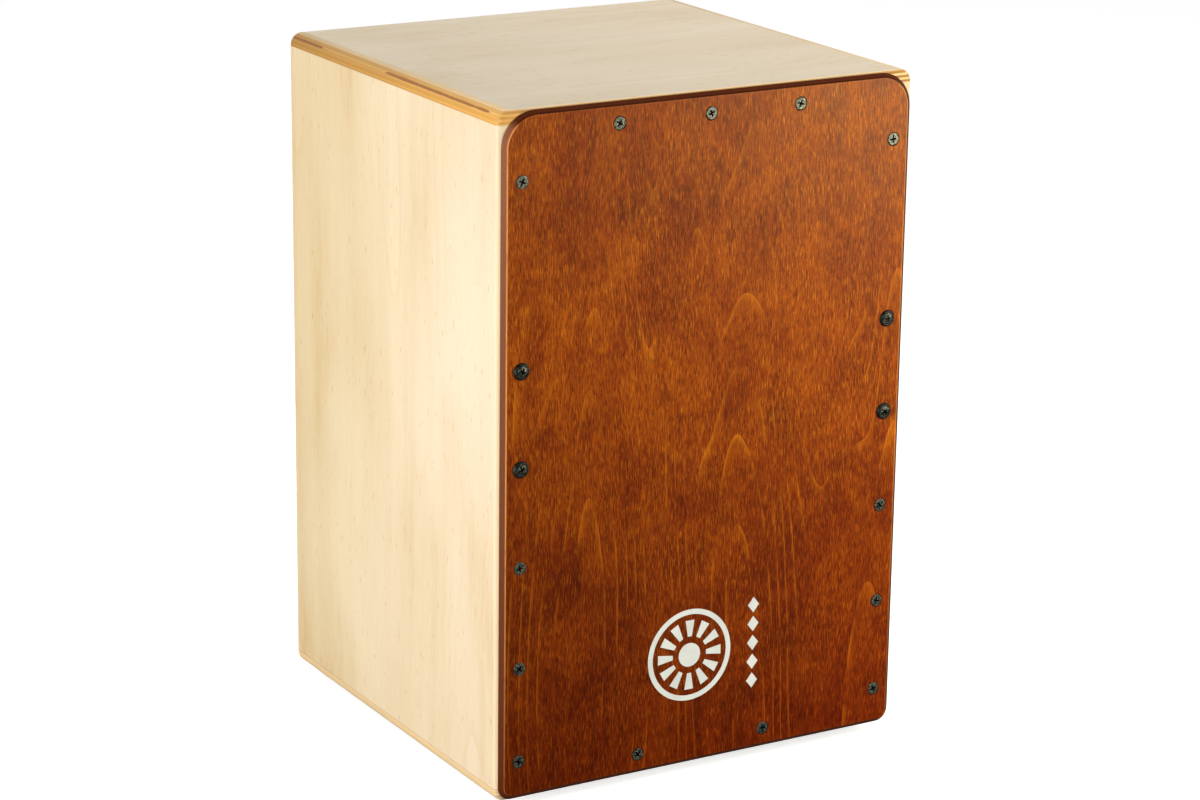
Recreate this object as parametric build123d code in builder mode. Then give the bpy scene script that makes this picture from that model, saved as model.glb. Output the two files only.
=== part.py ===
from build123d import *
import os
from math import asin, cos, sin, tan

os.makedirs("parts", exist_ok=True)

# A box drum (cajon) that is sat on and played with the hands.  Millimetres, +Z up.
# The origin is on the floor under the middle of the drum, and the playing face looks along -Y.

# ---- the wooden box ----
WIDTH = 300.0            # side to side
BODY_DEPTH = 289.0       # without the front plate
BODY_HEIGHT = 443.0      # without the feet
PANEL = 8.5              # sanded birch plywood
FOOT_HEIGHT = 8.0        # rubber feet under the box
LONG_EDGE_RADIUS = 8.0   # the four edges that run front to back
END_EDGE_RADIUS = 4.0    # the edges round the front and the back

# ---- front plate, the thin plywood that is played ----
PLATE_THICKNESS = 3.0
PLATE_SIDE_INSET = 2.0   # set in from each side of the box
PLATE_TOP_INSET = 0.6
PLATE_BOTTOM_INSET = 1.4
PLATE_TOP_CORNER = 23.0  # corner radii of its outline
PLATE_BOTTOM_CORNER = 9.0
PLATE_CHAMFER_WIDTH = 2.8   # bevel round its outer edge, across the face
PLATE_CHAMFER_DEPTH = 2.4
PLATE_ARRIS_RADIUS = 0.4    # where the bevel meets the face

# ---- sound port in the rear panel ----
PORT_RADIUS = 57.5
PORT_HEIGHT = 190.0      # centre above the floor
PORT_EDGE_RADIUS = 2.0   # rounding of its outer rim

# ---- strips of wood inside ----
FRONT_BATTEN_WIDTH = 15.0
FRONT_BATTEN_DEPTH = 20.0
REAR_BATTEN = 12.0       # square section
CROSSBAR_DEPTH = 18.0    # the bar that carries the snare wires
CROSSBAR_HEIGHT = 30.0
CROSSBAR_LEVEL = 296.0   # centre above the bottom of the box

# ---- screw places on the front plate, measured from the middle and the bottom of the box ----
SIDE_COLUMN = 134.7
SIDE_LEVELS = (26.4, 88.5, 154.9, 399.4)
WASHER_LEVELS = (219.1, 281.6)
TOP_ROW_LEVEL = 429.0
TOP_ROW_PLACES = (-67.6, -2.0, 63.6)
BOTTOM_ROW_LEVEL = 14.7
BOTTOM_ROW_PLACES = (-47.5, 47.5)

# ---- screws ----
SHANK_RADIUS = 1.6
POINT_LENGTH = 3.0
PILOT_RADIUS = 1.65      # holes in the wood that the shanks bite into
CLEAR_RADIUS = 2.1       # holes that the shanks pass through
SCREW_TURN = 37.0        # each screw is driven home to its own angle
RECESS_SPAN = 4.4        # tip to tip of the cross recess
RECESS_WING = 0.9        # width of its wings
RECESS_DEPTH = 1.3
RECESS_TAPER = 10.0

CSK_HEAD_RADIUS = 4.1
CSK_HEAD_EDGE = 0.25     # height of the head's straight rim
CSK_HEAD_HEIGHT = 2.2
CSK_SINK_RADIUS = 4.6    # countersink in the plate, a little wider than the head
CSK_LENGTH = 18.0

PAN_HEAD_RADIUS = 3.5
PAN_HEAD_HEIGHT = 2.2
PAN_HEAD_EDGE = 1.2      # height at which the pan head starts to slope in
PAN_HEAD_CROWN_RADIUS = 2.6

CUP_RADIUS = 5.5         # cup washers under four of the front plate's screws
CUP_RIM = 0.6
CUP_HEIGHT = 1.5
CUP_LIP_RADIUS = 4.2
CUP_SEAT_RADIUS = 3.75
CUP_HEAD_RADIUS = 3.5
CUP_HEAD_CROWN = 0.4     # the oval head stands this far out of its washer
CUP_HEAD_CONE = 1.7

FRONT_PILOT_DEPTH = 17.5
CROSSBAR_SCREW_LENGTH = 30.0
CROSSBAR_PILOT_DEPTH = 13.0
CROSSBAR_SCREW_RISE = 8.0    # above and below the middle of the bar
BRACKET_SCREW_LENGTH = 12.0
BRACKET_PILOT_DEPTH = 13.0
FOOT_SCREW_LENGTH = 12.0
FOOT_PILOT_DEPTH = 7.5

# ---- feet ----
FOOT_INSET = 36.0        # centre of a foot from the sides of the box
FOOT_TOP_RADIUS = 13.0
FOOT_BOTTOM_RADIUS = 11.0
FOOT_EDGE_RADIUS = 0.8
FOOT_POCKET_RADIUS = 5.6
FOOT_POCKET_DEPTH = 4.0
FOOT_WASHER_RADIUS = 5.0
FOOT_WASHER_THICKNESS = 0.8

# ---- snare wires ----
STRANDS = 10
STRAND_PITCH = 5.4
STRAND_RADIUS = 1.1      # outside of the coiled wire
STRAND_LENGTH = 96.0
STRAND_START = 1.5       # above the bracket's bend
STRAND_GAP = 0.3         # between the tip of a strand and the front plate
SNARE_OFFSET = 74.0      # middle of each set from the middle of the drum
BRACKET_THICKNESS = 1.0
BRACKET_WIDTH = 58.0
BRACKET_LEG = 20.0       # flat leg on the crossbar
BRACKET_LIP = 12.0       # leaning lip that the strands are soldered to
BRACKET_DROP = 3.0       # the bend is this far below the top of the bar
BRACKET_SCREW_SPACING = 40.0

# ---- printed ornament on the front plate ----
EMBLEM_X = -10.0
EMBLEM_LEVEL = 76.0      # centre above the bottom of the box
EMBLEM_THICKNESS = 0.2
EMBLEM_RING = (27.5, 31.0)
EMBLEM_RAYS = 12
EMBLEM_RAY_RADII = (12.5, 23.5)
EMBLEM_RAY_WIDTHS = (3.0, 6.5)
EMBLEM_HUB_RADIUS = 8.0
DIAMONDS = 5
DIAMOND_X = 38.0
DIAMOND_SPACING = 13.0
DIAMOND_HALF = (4.2, 5.2)

# ---- derived places ----
CUP_PROUD = CUP_HEIGHT + CUP_HEAD_CROWN
FRONT = CUP_PROUD - (PLATE_THICKNESS + BODY_DEPTH + CUP_PROUD) / 2
BODY_FRONT = FRONT + PLATE_THICKNESS
BODY_BACK = BODY_FRONT + BODY_DEPTH
BODY_MIDDLE = (BODY_FRONT + BODY_BACK) / 2
BOTTOM = FOOT_HEIGHT
TOP = BOTTOM + BODY_HEIGHT
HALF_HEIGHT = (BOTTOM + TOP) / 2
FLOOR_FACE = BOTTOM + PANEL
SEAT_UNDERSIDE = TOP - PANEL
INNER_HEIGHT = SEAT_UNDERSIDE - FLOOR_FACE
INNER_WIDTH = WIDTH - 2 * PANEL
INNER_SIDE = INNER_WIDTH / 2
REAR_PANEL_FACE = BODY_BACK - PANEL
CROSSBAR_FACE = BODY_FRONT + FRONT_BATTEN_DEPTH
CROSSBAR_BACK = CROSSBAR_FACE + CROSSBAR_DEPTH
CROSSBAR_Z = BOTTOM + CROSSBAR_LEVEL
BEND_Z = CROSSBAR_Z + CROSSBAR_HEIGHT / 2 - BRACKET_DROP
BRACKET_SCREW_Z = BEND_Z - BRACKET_LEG / 2
SIDES = {"left": -1, "right": 1}

COUNTERSUNK_PLACES = [(side * SIDE_COLUMN, BOTTOM + level) for side in (-1, 1) for level in SIDE_LEVELS]
COUNTERSUNK_PLACES += [(x, BOTTOM + TOP_ROW_LEVEL) for x in TOP_ROW_PLACES]
COUNTERSUNK_PLACES += [(x, BOTTOM + BOTTOM_ROW_LEVEL) for x in BOTTOM_ROW_PLACES]
CUP_PLACES = [(side * SIDE_COLUMN, BOTTOM + level) for side in (-1, 1) for level in WASHER_LEVELS]

CROSSBAR_SCREW_X = INNER_SIDE - FRONT_BATTEN_WIDTH / 2
CROSSBAR_SCREW_LEVELS = (CROSSBAR_Z - CROSSBAR_SCREW_RISE, CROSSBAR_Z + CROSSBAR_SCREW_RISE)
CROSSBAR_SCREW_PLACES = [(side * CROSSBAR_SCREW_X, z) for side in (-1, 1) for z in CROSSBAR_SCREW_LEVELS]
BRACKET_SCREW_PLACES = [
    (side * SNARE_OFFSET + half * BRACKET_SCREW_SPACING / 2, BRACKET_SCREW_Z)
    for side in (-1, 1)
    for half in (-1, 1)
]

FOOT_X = WIDTH / 2 - FOOT_INSET
FOOT_PLACES = {
    "front_left": (-FOOT_X, BODY_FRONT + FOOT_INSET),
    "front_right": (FOOT_X, BODY_FRONT + FOOT_INSET),
    "rear_left": (-FOOT_X, BODY_BACK - FOOT_INSET),
    "rear_right": (FOOT_X, BODY_BACK - FOOT_INSET),
}


def save(builder, name):
    """Label a finished piece and write it under its own name."""
    builder.part.label = name
    export_step(builder.part, f"parts/{name}.step")


def facing_front(y):
    """A plane at depth y that looks out of the playing face, with its own y pointing up."""
    return Plane(origin=(0, y, 0), x_dir=(1, 0, 0), z_dir=(0, -1, 0))


def facing_back(y):
    """A plane at depth y that looks out of the back, so its own x runs the other way."""
    return Plane(origin=(0, y, 0), x_dir=(-1, 0, 0), z_dir=(0, 1, 0))


def drill(plane, places, depth, radius):
    """Straight holes of one depth from a plane into the piece that is being made."""
    with BuildSketch(plane) as circles:
        with Locations(*places):
            Circle(radius)
    extrude(circles.sketch, amount=-depth, mode=Mode.SUBTRACT)


def cut_cross_recess(top):
    """A tapered cross for the screwdriver, cut down from a head's highest level."""
    with BuildSketch(Plane.XY.offset(top)) as cross:
        Rectangle(RECESS_SPAN, RECESS_WING)
        Rectangle(RECESS_WING, RECESS_SPAN)
    extrude(cross.sketch, amount=-RECESS_DEPTH, taper=RECESS_TAPER, mode=Mode.SUBTRACT)


def save_copies(piece, plane, places, name):
    """One node that holds a copy of a piece at each place on a plane, each turned on its axis."""
    with BuildPart() as group:
        for turn, (u, v) in enumerate(places):
            spot = plane.location * Location((u, v, 0), (0, 0, turn * SCREW_TURN))
            with Locations(spot):
                add(piece.part)
    save(group, name)


# ---- the rounded outside of the whole box, which its panels are trimmed to ----
with BuildPart() as envelope:
    with Locations((0, BODY_MIDDLE, HALF_HEIGHT)):
        Box(WIDTH, BODY_DEPTH, BODY_HEIGHT)
    fillet(envelope.edges().filter_by(Axis.Y), LONG_EDGE_RADIUS)
    fillet(envelope.faces().filter_by(Axis.Y).edges(), END_EDGE_RADIUS)

# ---- top panel: the seat, laid over the side panels ----
with BuildPart() as top_panel:
    with Locations((0, BODY_MIDDLE, TOP - PANEL / 2)):
        Box(WIDTH, BODY_DEPTH, PANEL)
    add(envelope.part, mode=Mode.INTERSECT)
save(top_panel, "top_panel")

# ---- bottom panel: under the side panels, drilled for the feet's screws ----
with BuildPart() as bottom_panel:
    with Locations((0, BODY_MIDDLE, BOTTOM + PANEL / 2)):
        Box(WIDTH, BODY_DEPTH, PANEL)
    add(envelope.part, mode=Mode.INTERSECT)
    with Locations((0, 0, BOTTOM)):
        with Locations(*FOOT_PLACES.values()):
            Cylinder(
                PILOT_RADIUS,
                FOOT_PILOT_DEPTH,
                align=(Align.CENTER, Align.CENTER, Align.MIN),
                mode=Mode.SUBTRACT,
            )
save(bottom_panel, "bottom_panel")

# ---- side panels, between the top and bottom panels ----
for side_name, side in SIDES.items():
    with BuildPart() as side_panel:
        with Locations((side * (WIDTH - PANEL) / 2, BODY_MIDDLE, HALF_HEIGHT)):
            Box(PANEL, BODY_DEPTH, INNER_HEIGHT)
        add(envelope.part, mode=Mode.INTERSECT)
    save(side_panel, f"{side_name}_side_panel")

# ---- rear panel: let in between the other four panels, with the round sound port ----
with BuildPart() as rear_panel:
    with Locations((0, BODY_BACK - PANEL / 2, HALF_HEIGHT)):
        Box(INNER_WIDTH, PANEL, INNER_HEIGHT)
    drill(facing_back(BODY_BACK), [(0, PORT_HEIGHT)], PANEL, PORT_RADIUS)
    port_rims = rear_panel.edges().filter_by(GeomType.CIRCLE)
    fillet(port_rims.sort_by(Axis.Y)[-1], PORT_EDGE_RADIUS)
save(rear_panel, "rear_panel")

# ---- front plate: the playing face, with large corners at the top and small ones below ----
plate_low = BOTTOM + PLATE_BOTTOM_INSET
plate_high = TOP - PLATE_TOP_INSET
with BuildPart() as front_plate:
    with BuildSketch(facing_front(BODY_FRONT)) as outline:
        with Locations((0, (plate_low + plate_high) / 2)):
            Rectangle(WIDTH - 2 * PLATE_SIDE_INSET, plate_high - plate_low)
        fillet(outline.vertices().group_by(Axis.Y)[0], PLATE_BOTTOM_CORNER)
        fillet(outline.vertices().group_by(Axis.Y)[-1], PLATE_TOP_CORNER)
    extrude(amount=PLATE_THICKNESS)
    playing_face = front_plate.faces().sort_by(Axis.Y)[0]
    chamfer(playing_face.edges(), PLATE_CHAMFER_WIDTH, PLATE_CHAMFER_DEPTH, reference=playing_face)
    fillet(front_plate.faces().sort_by(Axis.Y)[0].edges(), PLATE_ARRIS_RADIUS)
    with Locations(facing_front(FRONT)):
        with Locations(*COUNTERSUNK_PLACES):
            CounterSinkHole(CLEAR_RADIUS, CSK_SINK_RADIUS)
        with Locations(*CUP_PLACES):
            Hole(CLEAR_RADIUS)
save(front_plate, "front_plate")

# ---- front battens: strips glued inside the front rim, which the plate is screwed to ----
batten_y = BODY_FRONT + FRONT_BATTEN_DEPTH / 2
for side_name, side in SIDES.items():
    levels = SIDE_LEVELS + WASHER_LEVELS
    with BuildPart() as side_batten:
        with Locations((side * CROSSBAR_SCREW_X, batten_y, HALF_HEIGHT)):
            Box(FRONT_BATTEN_WIDTH, FRONT_BATTEN_DEPTH, INNER_HEIGHT)
        plate_places = [(side * SIDE_COLUMN, BOTTOM + level) for level in levels]
        drill(facing_front(BODY_FRONT), plate_places, FRONT_PILOT_DEPTH, PILOT_RADIUS)
        bar_places = [(-side * CROSSBAR_SCREW_X, z) for z in CROSSBAR_SCREW_LEVELS]
        drill(facing_back(CROSSBAR_FACE), bar_places, CROSSBAR_PILOT_DEPTH, PILOT_RADIUS)
    save(side_batten, f"front_batten_{side_name}")

for level_name, batten_z, row_level, row_places in (
    ("top", SEAT_UNDERSIDE - FRONT_BATTEN_WIDTH / 2, TOP_ROW_LEVEL, TOP_ROW_PLACES),
    ("bottom", FLOOR_FACE + FRONT_BATTEN_WIDTH / 2, BOTTOM_ROW_LEVEL, BOTTOM_ROW_PLACES),
):
    with BuildPart() as cross_batten:
        with Locations((0, batten_y, batten_z)):
            Box(INNER_WIDTH - 2 * FRONT_BATTEN_WIDTH, FRONT_BATTEN_DEPTH, FRONT_BATTEN_WIDTH)
        plate_places = [(x, BOTTOM + row_level) for x in row_places]
        drill(facing_front(BODY_FRONT), plate_places, FRONT_PILOT_DEPTH, PILOT_RADIUS)
    save(cross_batten, f"front_batten_{level_name}")

# ---- rear battens: square strips glued in the back corners, which the rear panel sits against ----
rear_y = REAR_PANEL_FACE - REAR_BATTEN / 2
for side_name, side in SIDES.items():
    with BuildPart() as upright:
        with Locations((side * (INNER_SIDE - REAR_BATTEN / 2), rear_y, HALF_HEIGHT)):
            Box(REAR_BATTEN, REAR_BATTEN, INNER_HEIGHT)
    save(upright, f"rear_batten_{side_name}")

for level_name, strip_z in (
    ("top", SEAT_UNDERSIDE - REAR_BATTEN / 2),
    ("bottom", FLOOR_FACE + REAR_BATTEN / 2),
):
    with BuildPart() as strip:
        with Locations((0, rear_y, strip_z)):
            Box(INNER_WIDTH - 2 * REAR_BATTEN, REAR_BATTEN, REAR_BATTEN)
    save(strip, f"rear_batten_{level_name}")

# ---- snare crossbar: a bar across the back of the front battens ----
with BuildPart() as snare_crossbar:
    with Locations((0, CROSSBAR_FACE + CROSSBAR_DEPTH / 2, CROSSBAR_Z)):
        Box(INNER_WIDTH, CROSSBAR_DEPTH, CROSSBAR_HEIGHT)
    drill(facing_back(CROSSBAR_BACK), CROSSBAR_SCREW_PLACES, CROSSBAR_DEPTH, CLEAR_RADIUS)
    drill(facing_front(CROSSBAR_FACE), BRACKET_SCREW_PLACES, BRACKET_PILOT_DEPTH, PILOT_RADIUS)
save(snare_crossbar, "snare_crossbar")

# ---- snare brackets and wires: the lip leans forward until the wires meet the front plate ----
bracket_face = CROSSBAR_FACE - BRACKET_THICKNESS
reach = bracket_face - 2 * STRAND_RADIUS - STRAND_GAP - BODY_FRONT
lean = asin(reach / (STRAND_START + STRAND_LENGTH))
along = Vector(0, -sin(lean), cos(lean))
forward = Vector(0, -cos(lean), -sin(lean))
bend = Vector(0, bracket_face, BEND_Z)
lip_front = bend + along * BRACKET_LIP
lip_back = lip_front - forward * BRACKET_THICKNESS
inner_bend_z = BEND_Z + BRACKET_THICKNESS * tan(lean / 2)

for side_name, side in SIDES.items():
    middle = side * SNARE_OFFSET
    with BuildPart() as bracket:
        with BuildSketch(Plane.YZ.offset(middle - BRACKET_WIDTH / 2)):
            with BuildLine():
                Polyline(
                    (CROSSBAR_FACE, BEND_Z - BRACKET_LEG),
                    (CROSSBAR_FACE, inner_bend_z),
                    (lip_back.Y, lip_back.Z),
                    (lip_front.Y, lip_front.Z),
                    (bracket_face, BEND_Z),
                    (bracket_face, BEND_Z - BRACKET_LEG),
                    close=True,
                )
            make_face()
        extrude(amount=BRACKET_WIDTH)
        holes = [(x, z) for x, z in BRACKET_SCREW_PLACES if x * side > 0]
        drill(facing_front(bracket_face), holes, BRACKET_THICKNESS, CLEAR_RADIUS)
    save(bracket, f"snare_bracket_{side_name}")

    strand_foot = bend + forward * STRAND_RADIUS + along * STRAND_START + Vector(middle, 0, 0)
    with BuildPart() as wires:
        with BuildSketch(Plane(origin=strand_foot, x_dir=(1, 0, 0), z_dir=along)):
            with GridLocations(STRAND_PITCH, STRAND_PITCH, STRANDS, 1):
                Circle(STRAND_RADIUS)
        extrude(amount=STRAND_LENGTH)
    save(wires, f"snare_wires_{side_name}")

# ---- countersunk screws of the front plate, their faces flush with it ----
with BuildPart() as countersunk_screw:
    with BuildSketch(Plane.XZ):
        with BuildLine():
            Polyline(
                (0, 0),
                (CSK_HEAD_RADIUS, 0),
                (CSK_HEAD_RADIUS, -CSK_HEAD_EDGE),
                (SHANK_RADIUS, -CSK_HEAD_HEIGHT),
                (SHANK_RADIUS, POINT_LENGTH - CSK_LENGTH),
                (0, -CSK_LENGTH),
                close=True,
            )
        make_face()
    revolve(axis=Axis.Z)
    cut_cross_recess(0)
save_copies(countersunk_screw, facing_front(FRONT), COUNTERSUNK_PLACES, "front_plate_screws")

# ---- cup washers, and the oval-headed screws that sit in them ----
with BuildPart() as cup_washer:
    with BuildSketch(Plane.XZ):
        with BuildLine():
            Polyline(
                (CLEAR_RADIUS, 0),
                (CUP_RADIUS, 0),
                (CUP_RADIUS, CUP_RIM),
                (CUP_LIP_RADIUS, CUP_HEIGHT),
                (CUP_SEAT_RADIUS, CUP_HEIGHT),
                close=True,
            )
        make_face()
    revolve(axis=Axis.Z)
save_copies(cup_washer, facing_front(FRONT), CUP_PLACES, "cup_washers")

with BuildPart() as oval_screw:
    with BuildSketch(Plane.XZ):
        with BuildLine():
            ThreePointArc(
                (0, CUP_PROUD),
                (CUP_HEAD_RADIUS / 2, CUP_PROUD - CUP_HEAD_CROWN / 4),
                (CUP_HEAD_RADIUS, CUP_HEIGHT),
            )
            Polyline(
                (CUP_HEAD_RADIUS, CUP_HEIGHT),
                (SHANK_RADIUS, CUP_HEIGHT - CUP_HEAD_CONE),
                (SHANK_RADIUS, POINT_LENGTH - CSK_LENGTH),
                (0, -CSK_LENGTH),
                (0, CUP_PROUD),
            )
        make_face()
    revolve(axis=Axis.Z)
    cut_cross_recess(CUP_PROUD)
save_copies(oval_screw, facing_front(FRONT), CUP_PLACES, "cup_washer_screws")

# ---- pan-head screws of the crossbar, the snare brackets and the feet ----
foot_screw_level = FOOT_HEIGHT - FOOT_POCKET_DEPTH - FOOT_WASHER_THICKNESS
facing_down = Plane(origin=(0, 0, foot_screw_level), x_dir=(1, 0, 0), z_dir=(0, 0, -1))
for screw_name, length, plane, places in (
    (
        "crossbar_screws",
        CROSSBAR_SCREW_LENGTH,
        facing_back(CROSSBAR_BACK),
        CROSSBAR_SCREW_PLACES,
    ),
    (
        "snare_bracket_screws",
        BRACKET_SCREW_LENGTH,
        facing_front(bracket_face),
        BRACKET_SCREW_PLACES,
    ),
    (
        "foot_screws",
        FOOT_SCREW_LENGTH,
        facing_down,
        [(x, -y) for x, y in FOOT_PLACES.values()],
    ),
):
    with BuildPart() as pan_screw:
        with BuildSketch(Plane.XZ):
            with BuildLine():
                Polyline(
                    (0, PAN_HEAD_HEIGHT),
                    (PAN_HEAD_CROWN_RADIUS, PAN_HEAD_HEIGHT),
                    (PAN_HEAD_RADIUS, PAN_HEAD_EDGE),
                    (PAN_HEAD_RADIUS, 0),
                    (SHANK_RADIUS, 0),
                    (SHANK_RADIUS, POINT_LENGTH - length),
                    (0, -length),
                    close=True,
                )
            make_face()
        revolve(axis=Axis.Z)
        cut_cross_recess(PAN_HEAD_HEIGHT)
    save_copies(pan_screw, plane, places, screw_name)

# ---- feet: rubber, each with a pocket that hides its screw and washer ----
for foot_name, (foot_x, foot_y) in FOOT_PLACES.items():
    with BuildPart() as foot:
        with Locations((foot_x, foot_y, 0)):
            Cone(
                FOOT_BOTTOM_RADIUS,
                FOOT_TOP_RADIUS,
                FOOT_HEIGHT,
                align=(Align.CENTER, Align.CENTER, Align.MIN),
            )
        fillet(foot.faces().sort_by(Axis.Z)[0].edges(), FOOT_EDGE_RADIUS)
        with Locations((foot_x, foot_y, 0)):
            Cylinder(
                FOOT_POCKET_RADIUS,
                FOOT_POCKET_DEPTH,
                align=(Align.CENTER, Align.CENTER, Align.MIN),
                mode=Mode.SUBTRACT,
            )
            Hole(CLEAR_RADIUS)
    save(foot, f"foot_{foot_name}")

with BuildPart() as foot_washers:
    with Locations((0, 0, FOOT_HEIGHT - FOOT_POCKET_DEPTH)):
        with Locations(*FOOT_PLACES.values()):
            Cylinder(
                FOOT_WASHER_RADIUS,
                FOOT_WASHER_THICKNESS,
                align=(Align.CENTER, Align.CENTER, Align.MAX),
            )
            Hole(CLEAR_RADIUS)
save(foot_washers, "foot_washers")

# ---- printed ornament: a plain sunburst and a column of diamonds ----
inner, outer = EMBLEM_RAY_RADII
narrow, wide = EMBLEM_RAY_WIDTHS
with BuildPart() as emblem:
    with BuildSketch(facing_front(FRONT)):
        with Locations((EMBLEM_X, BOTTOM + EMBLEM_LEVEL)):
            Circle(EMBLEM_RING[1])
            Circle(EMBLEM_RING[0], mode=Mode.SUBTRACT)
            Circle(EMBLEM_HUB_RADIUS)
            with PolarLocations(0, EMBLEM_RAYS):
                Polygon(
                    (inner, -narrow / 2),
                    (outer, -wide / 2),
                    (outer, wide / 2),
                    (inner, narrow / 2),
                    align=None,
                )
        with Locations((DIAMOND_X, BOTTOM + EMBLEM_LEVEL)):
            with GridLocations(DIAMOND_SPACING, DIAMOND_SPACING, 1, DIAMONDS):
                half_width, half_height = DIAMOND_HALF
                Polygon(
                    (half_width, 0),
                    (0, half_height),
                    (-half_width, 0),
                    (0, -half_height),
                )
    extrude(amount=EMBLEM_THICKNESS)
save(emblem, "emblem")
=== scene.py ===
import math

import bmesh
import bpy
from mathutils import Matrix, Vector


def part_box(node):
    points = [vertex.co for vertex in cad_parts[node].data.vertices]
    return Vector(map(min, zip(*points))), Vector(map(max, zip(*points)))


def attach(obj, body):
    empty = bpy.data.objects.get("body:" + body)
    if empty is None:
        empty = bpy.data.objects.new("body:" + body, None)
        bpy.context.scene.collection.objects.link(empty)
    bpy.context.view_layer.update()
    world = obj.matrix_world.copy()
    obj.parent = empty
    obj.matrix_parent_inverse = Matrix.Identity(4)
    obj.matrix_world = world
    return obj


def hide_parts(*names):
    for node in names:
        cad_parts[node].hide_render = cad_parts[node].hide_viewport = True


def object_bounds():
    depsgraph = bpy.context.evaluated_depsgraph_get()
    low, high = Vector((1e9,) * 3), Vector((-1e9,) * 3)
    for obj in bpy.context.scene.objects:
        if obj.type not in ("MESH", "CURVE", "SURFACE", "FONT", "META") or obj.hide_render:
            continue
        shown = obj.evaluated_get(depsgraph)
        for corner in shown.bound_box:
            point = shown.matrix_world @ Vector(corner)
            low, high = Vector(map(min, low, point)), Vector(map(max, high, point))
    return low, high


# Looks of the box drum (cajon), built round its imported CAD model.  Metres, +Z up.
# The playing face looks along -Y.

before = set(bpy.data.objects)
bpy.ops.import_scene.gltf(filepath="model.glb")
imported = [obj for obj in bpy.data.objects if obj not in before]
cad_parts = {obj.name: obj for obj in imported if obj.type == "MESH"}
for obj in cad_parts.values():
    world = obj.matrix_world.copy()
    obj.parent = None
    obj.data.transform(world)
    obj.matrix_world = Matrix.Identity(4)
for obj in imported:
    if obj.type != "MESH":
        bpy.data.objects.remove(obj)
cad_low, cad_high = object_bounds()

MM = 0.001
AXES = {"x": 0, "y": 1, "z": 2}
FRONTWARD = (0, -1, 0)
BACKWARD = (0, 1, 0)
UPWARD = (0, 0, 1)
DOWNWARD = (0, 0, -1)


# ======== Camera, lights and floor ========

CAMERA_PLACE = (-1.1280, -1.93095, 0.8771)
CAMERA_AZIMUTH = math.radians(-30.43)
CAMERA_ELEVATION = math.radians(16.49)
CAMERA_ROLL = math.radians(0.76)
CAMERA_LENS = 104.96        # millimetres
CAMERA_SENSOR = 36.0
CAMERA_CLIP = (0.05, 50.0)

DRUM_MIDDLE = (0.0, 0.0, 0.26)
PLATE_MIDDLE_RIGHT = (0.1, -0.14, 0.34)
PLATE_TOP_RIGHT = (0.15, -0.147, 0.4)
LIGHTS = (
    # name, place, target, width and height, watts, colour
    ("key_light", (-1.37, -0.42, 0.38), DRUM_MIDDLE, (1.0, 0.74), 19.8, (1.0, 0.99, 0.975)),
    ("top_light", (0.4, 0.7, 1.7), DRUM_MIDDLE, (1.3, 1.1), 12.0, (1.0, 1.0, 1.0)),
    ("right_light", (0.8, -0.9, 0.7), PLATE_MIDDLE_RIGHT, (0.5, 0.5), 8.8, (1.0, 1.0, 1.0)),
    ("haze_light", (1.08, -1.28, 0.2), PLATE_TOP_RIGHT, (0.4, 0.2), 10.5, (1.0, 0.86, 0.58)),
)
SWEEP_FROM_TO = (-0.7, 0.6)         # how far backward a ray looks, -1 to 1
SWEEP_STRENGTH = (0.05, 0.66)       # what the world gives along such rays

FLOOR_REACH = 14.0
FLOOR_WHITE = (0.8, 0.8, 0.8, 1)
FLOOR_GLOW = 0.72
FLOOR_DULL = (0.2, 0.2, 0.2, 1)     # what the drum gets back from the floor


def make_camera():
    """The camera looks down at the left front corner of the drum."""
    azimuth, elevation = CAMERA_AZIMUTH, CAMERA_ELEVATION
    back = Vector((
        math.sin(azimuth) * math.cos(elevation),
        -math.cos(azimuth) * math.cos(elevation),
        math.sin(elevation),
    ))
    right = (-back).cross(Vector((0, 0, 1))).normalized()
    up = right.cross(-back)
    turned_right = right * math.cos(CAMERA_ROLL) + up * math.sin(CAMERA_ROLL)
    turned_up = up * math.cos(CAMERA_ROLL) - right * math.sin(CAMERA_ROLL)
    turn = Matrix((turned_right, turned_up, back)).transposed()
    data = bpy.data.cameras.new("camera")
    data.lens = CAMERA_LENS
    data.sensor_width = CAMERA_SENSOR
    data.clip_start, data.clip_end = CAMERA_CLIP
    camera = bpy.data.objects.new("camera", data)
    camera.matrix_world = Matrix.Translation(CAMERA_PLACE) @ turn.to_4x4()
    bpy.context.scene.collection.objects.link(camera)
    bpy.context.scene.camera = camera


def soft_light(name, place, target, size, watts, colour):
    """A rectangular softbox at a place, aimed at a target.  Size is its width and height."""
    data = bpy.data.lights.new(name, "AREA")
    data.shape = "RECTANGLE"
    data.size, data.size_y = size
    data.energy = watts
    data.color = colour
    light = bpy.data.objects.new(name, data)
    aim = (Vector(target) - Vector(place)).to_track_quat("-Z", "Y")
    light.matrix_world = Matrix.Translation(place) @ aim.to_matrix().to_4x4()
    light.visible_camera = False
    bpy.context.scene.collection.objects.link(light)


def make_lights():
    """A large softbox low on the left, one above, one on the right, and a low warm one.

    The last is mirrored in the upper right of the plate, as a haze.
    """
    for light in LIGHTS:
        soft_light(*light)


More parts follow.
